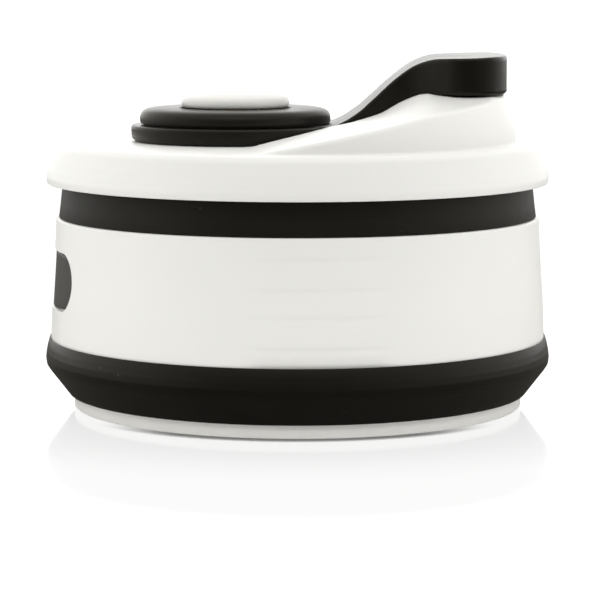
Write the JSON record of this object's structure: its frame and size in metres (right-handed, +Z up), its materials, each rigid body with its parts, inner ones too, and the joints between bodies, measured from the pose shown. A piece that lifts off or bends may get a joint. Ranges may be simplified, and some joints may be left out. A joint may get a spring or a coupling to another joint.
{
  "type": "collapsible travel cup",
  "caption": "Round collapsible silicone cup folded flat in a rigid grip sleeve, with a press-on lid, raised spout, flip stopper and push vent.",
  "frame": {"origin": "centre of the flat foot, on the cup's axis", "axes": "+Z up along the cup's axis, +X towards the drinking spout, the knob lies towards -X"},
  "size_m": [0.0988, 0.0988, 0.068],
  "materials": {
    "white_plastic": "fine satin moulded polypropylene",
    "foot_plastic": "satin moulded polypropylene, slightly greyer",
    "inner_plastic": "plain moulded polypropylene",
    "black_silicone": "soft matte silicone",
    "wall_silicone": "soft matte silicone",
    "black_cap": "soft-touch matte",
    "grey_badge": "matte inlay",
    "seal_silicone": "translucent grey silicone",
    "button_plastic": "satin moulded plastic",
    "stem_plastic": "smooth moulded acetal"
  },
  "bodies": {
    "base": {"base_plate": "foot_plastic", "base_bumper": "black_silicone", "docking_hoop": "inner_plastic", "wall_fold_1": "wall_silicone"},
    "ring_lower": {"wall_ring_lower": "wall_silicone", "wall_fold_2": "wall_silicone"},
    "ring_middle": {"wall_ring_middle": "wall_silicone", "wall_fold_3": "wall_silicone"},
    "ring_upper": {"wall_ring_upper": "wall_silicone", "wall_fold_4": "wall_silicone"},
    "upper_body": {"upper_wall": "wall_silicone", "grip_sleeve": "white_plastic", "grip_badge": "grey_badge"},
    "gasket": {"lid_gasket": "seal_silicone"},
    "lid": {"lid_shell": "white_plastic", "lid_liner": "inner_plastic", "knob_post": "inner_plastic", "knob_cap": "black_cap", "stopper_ring": "black_silicone", "return_dome": "black_silicone"},
    "stopper": {"stopper_strap": "black_silicone", "drink_plug": "seal_silicone"},
    "button": {"vent_button": "button_plastic", "vent_stem": "stem_plastic", "vent_valve": "black_silicone"}
  },
  "joints": [
    {"name": "unfold_1", "type": "slide", "parent": "base", "child": "ring_lower", "axis": [0, 0, 1], "range_m": [0, 0.0138], "deforming": ["wall_fold_1"]},
    {"name": "unfold_2", "type": "slide", "parent": "ring_lower", "child": "ring_middle", "axis": [0, 0, 1], "range_m": [0, 0.0138], "deforming": ["wall_fold_2"]},
    {"name": "unfold_3", "type": "slide", "parent": "ring_middle", "child": "ring_upper", "axis": [0, 0, 1], "range_m": [0, 0.0138], "deforming": ["wall_fold_3"]},
    {"name": "unfold_4", "type": "slide", "parent": "ring_upper", "child": "upper_body", "axis": [0, 0, 1], "range_m": [0, 0.0138], "deforming": ["wall_fold_4"]},
    {"name": "lid_lift", "type": "slide", "parent": "upper_body", "child": "gasket", "axis": [0, 0, 1], "range_m": [0, 0.03]},
    {"name": "lid_turn", "type": "hinge", "parent": "gasket", "child": "lid", "pos_m": [0, 0, 0.0428], "axis": [0, 0, 1], "continuous": true},
    {"name": "stopper_flip", "type": "hinge", "parent": "lid", "child": "stopper", "pos_m": [0.0135, 0, 0.05725], "axis": [0, -1, 0], "range_deg": [0, 90]},
    {"name": "button_press", "type": "slide", "parent": "lid", "child": "button", "axis": [0, 0, -1], "range_m": [0, 0.0012], "stiffness_N_per_m": 300, "deforming": ["return_dome"]}
  ],
  "couplings": [
    {"joint": "unfold_2", "follows": "unfold_1", "ratio": 1},
    {"joint": "unfold_3", "follows": "unfold_1", "ratio": 1},
    {"joint": "unfold_4", "follows": "unfold_1", "ratio": 1}
  ]
}
